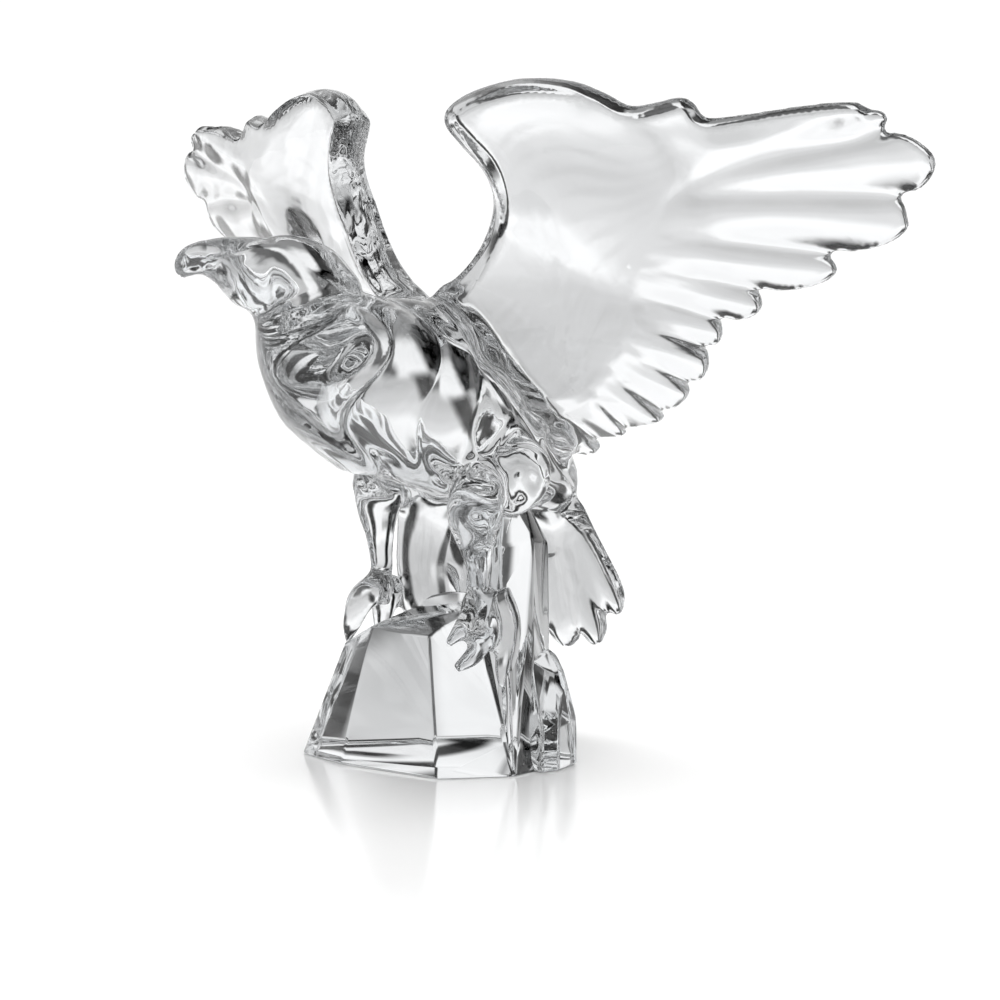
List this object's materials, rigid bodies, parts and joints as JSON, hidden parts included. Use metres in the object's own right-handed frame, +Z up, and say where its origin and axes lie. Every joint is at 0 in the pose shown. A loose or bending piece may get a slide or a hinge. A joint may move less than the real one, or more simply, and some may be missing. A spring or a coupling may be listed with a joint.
{
  "type": "crystal eagle figurine",
  "caption": "Clear crystal figurine of an eagle with raised, spread wings, its head turned to its right, standing on a faceted rock of the same casting.",
  "frame": {"origin": "on the rock's flat underside, under the bird's body, between its feet and the pillar behind them", "axes": "+Z up; the bird's body points along -Y; the wings spread along X, its left wing on +X"},
  "size_m": [0.3126, 0.1555, 0.2172],
  "materials": {
    "crystal": "clear, fire-polished, with cut and polished rock faces"
  },
  "bodies": {
    "root": {"crystal_eagle": "crystal"}
  },
  "joints": []
}
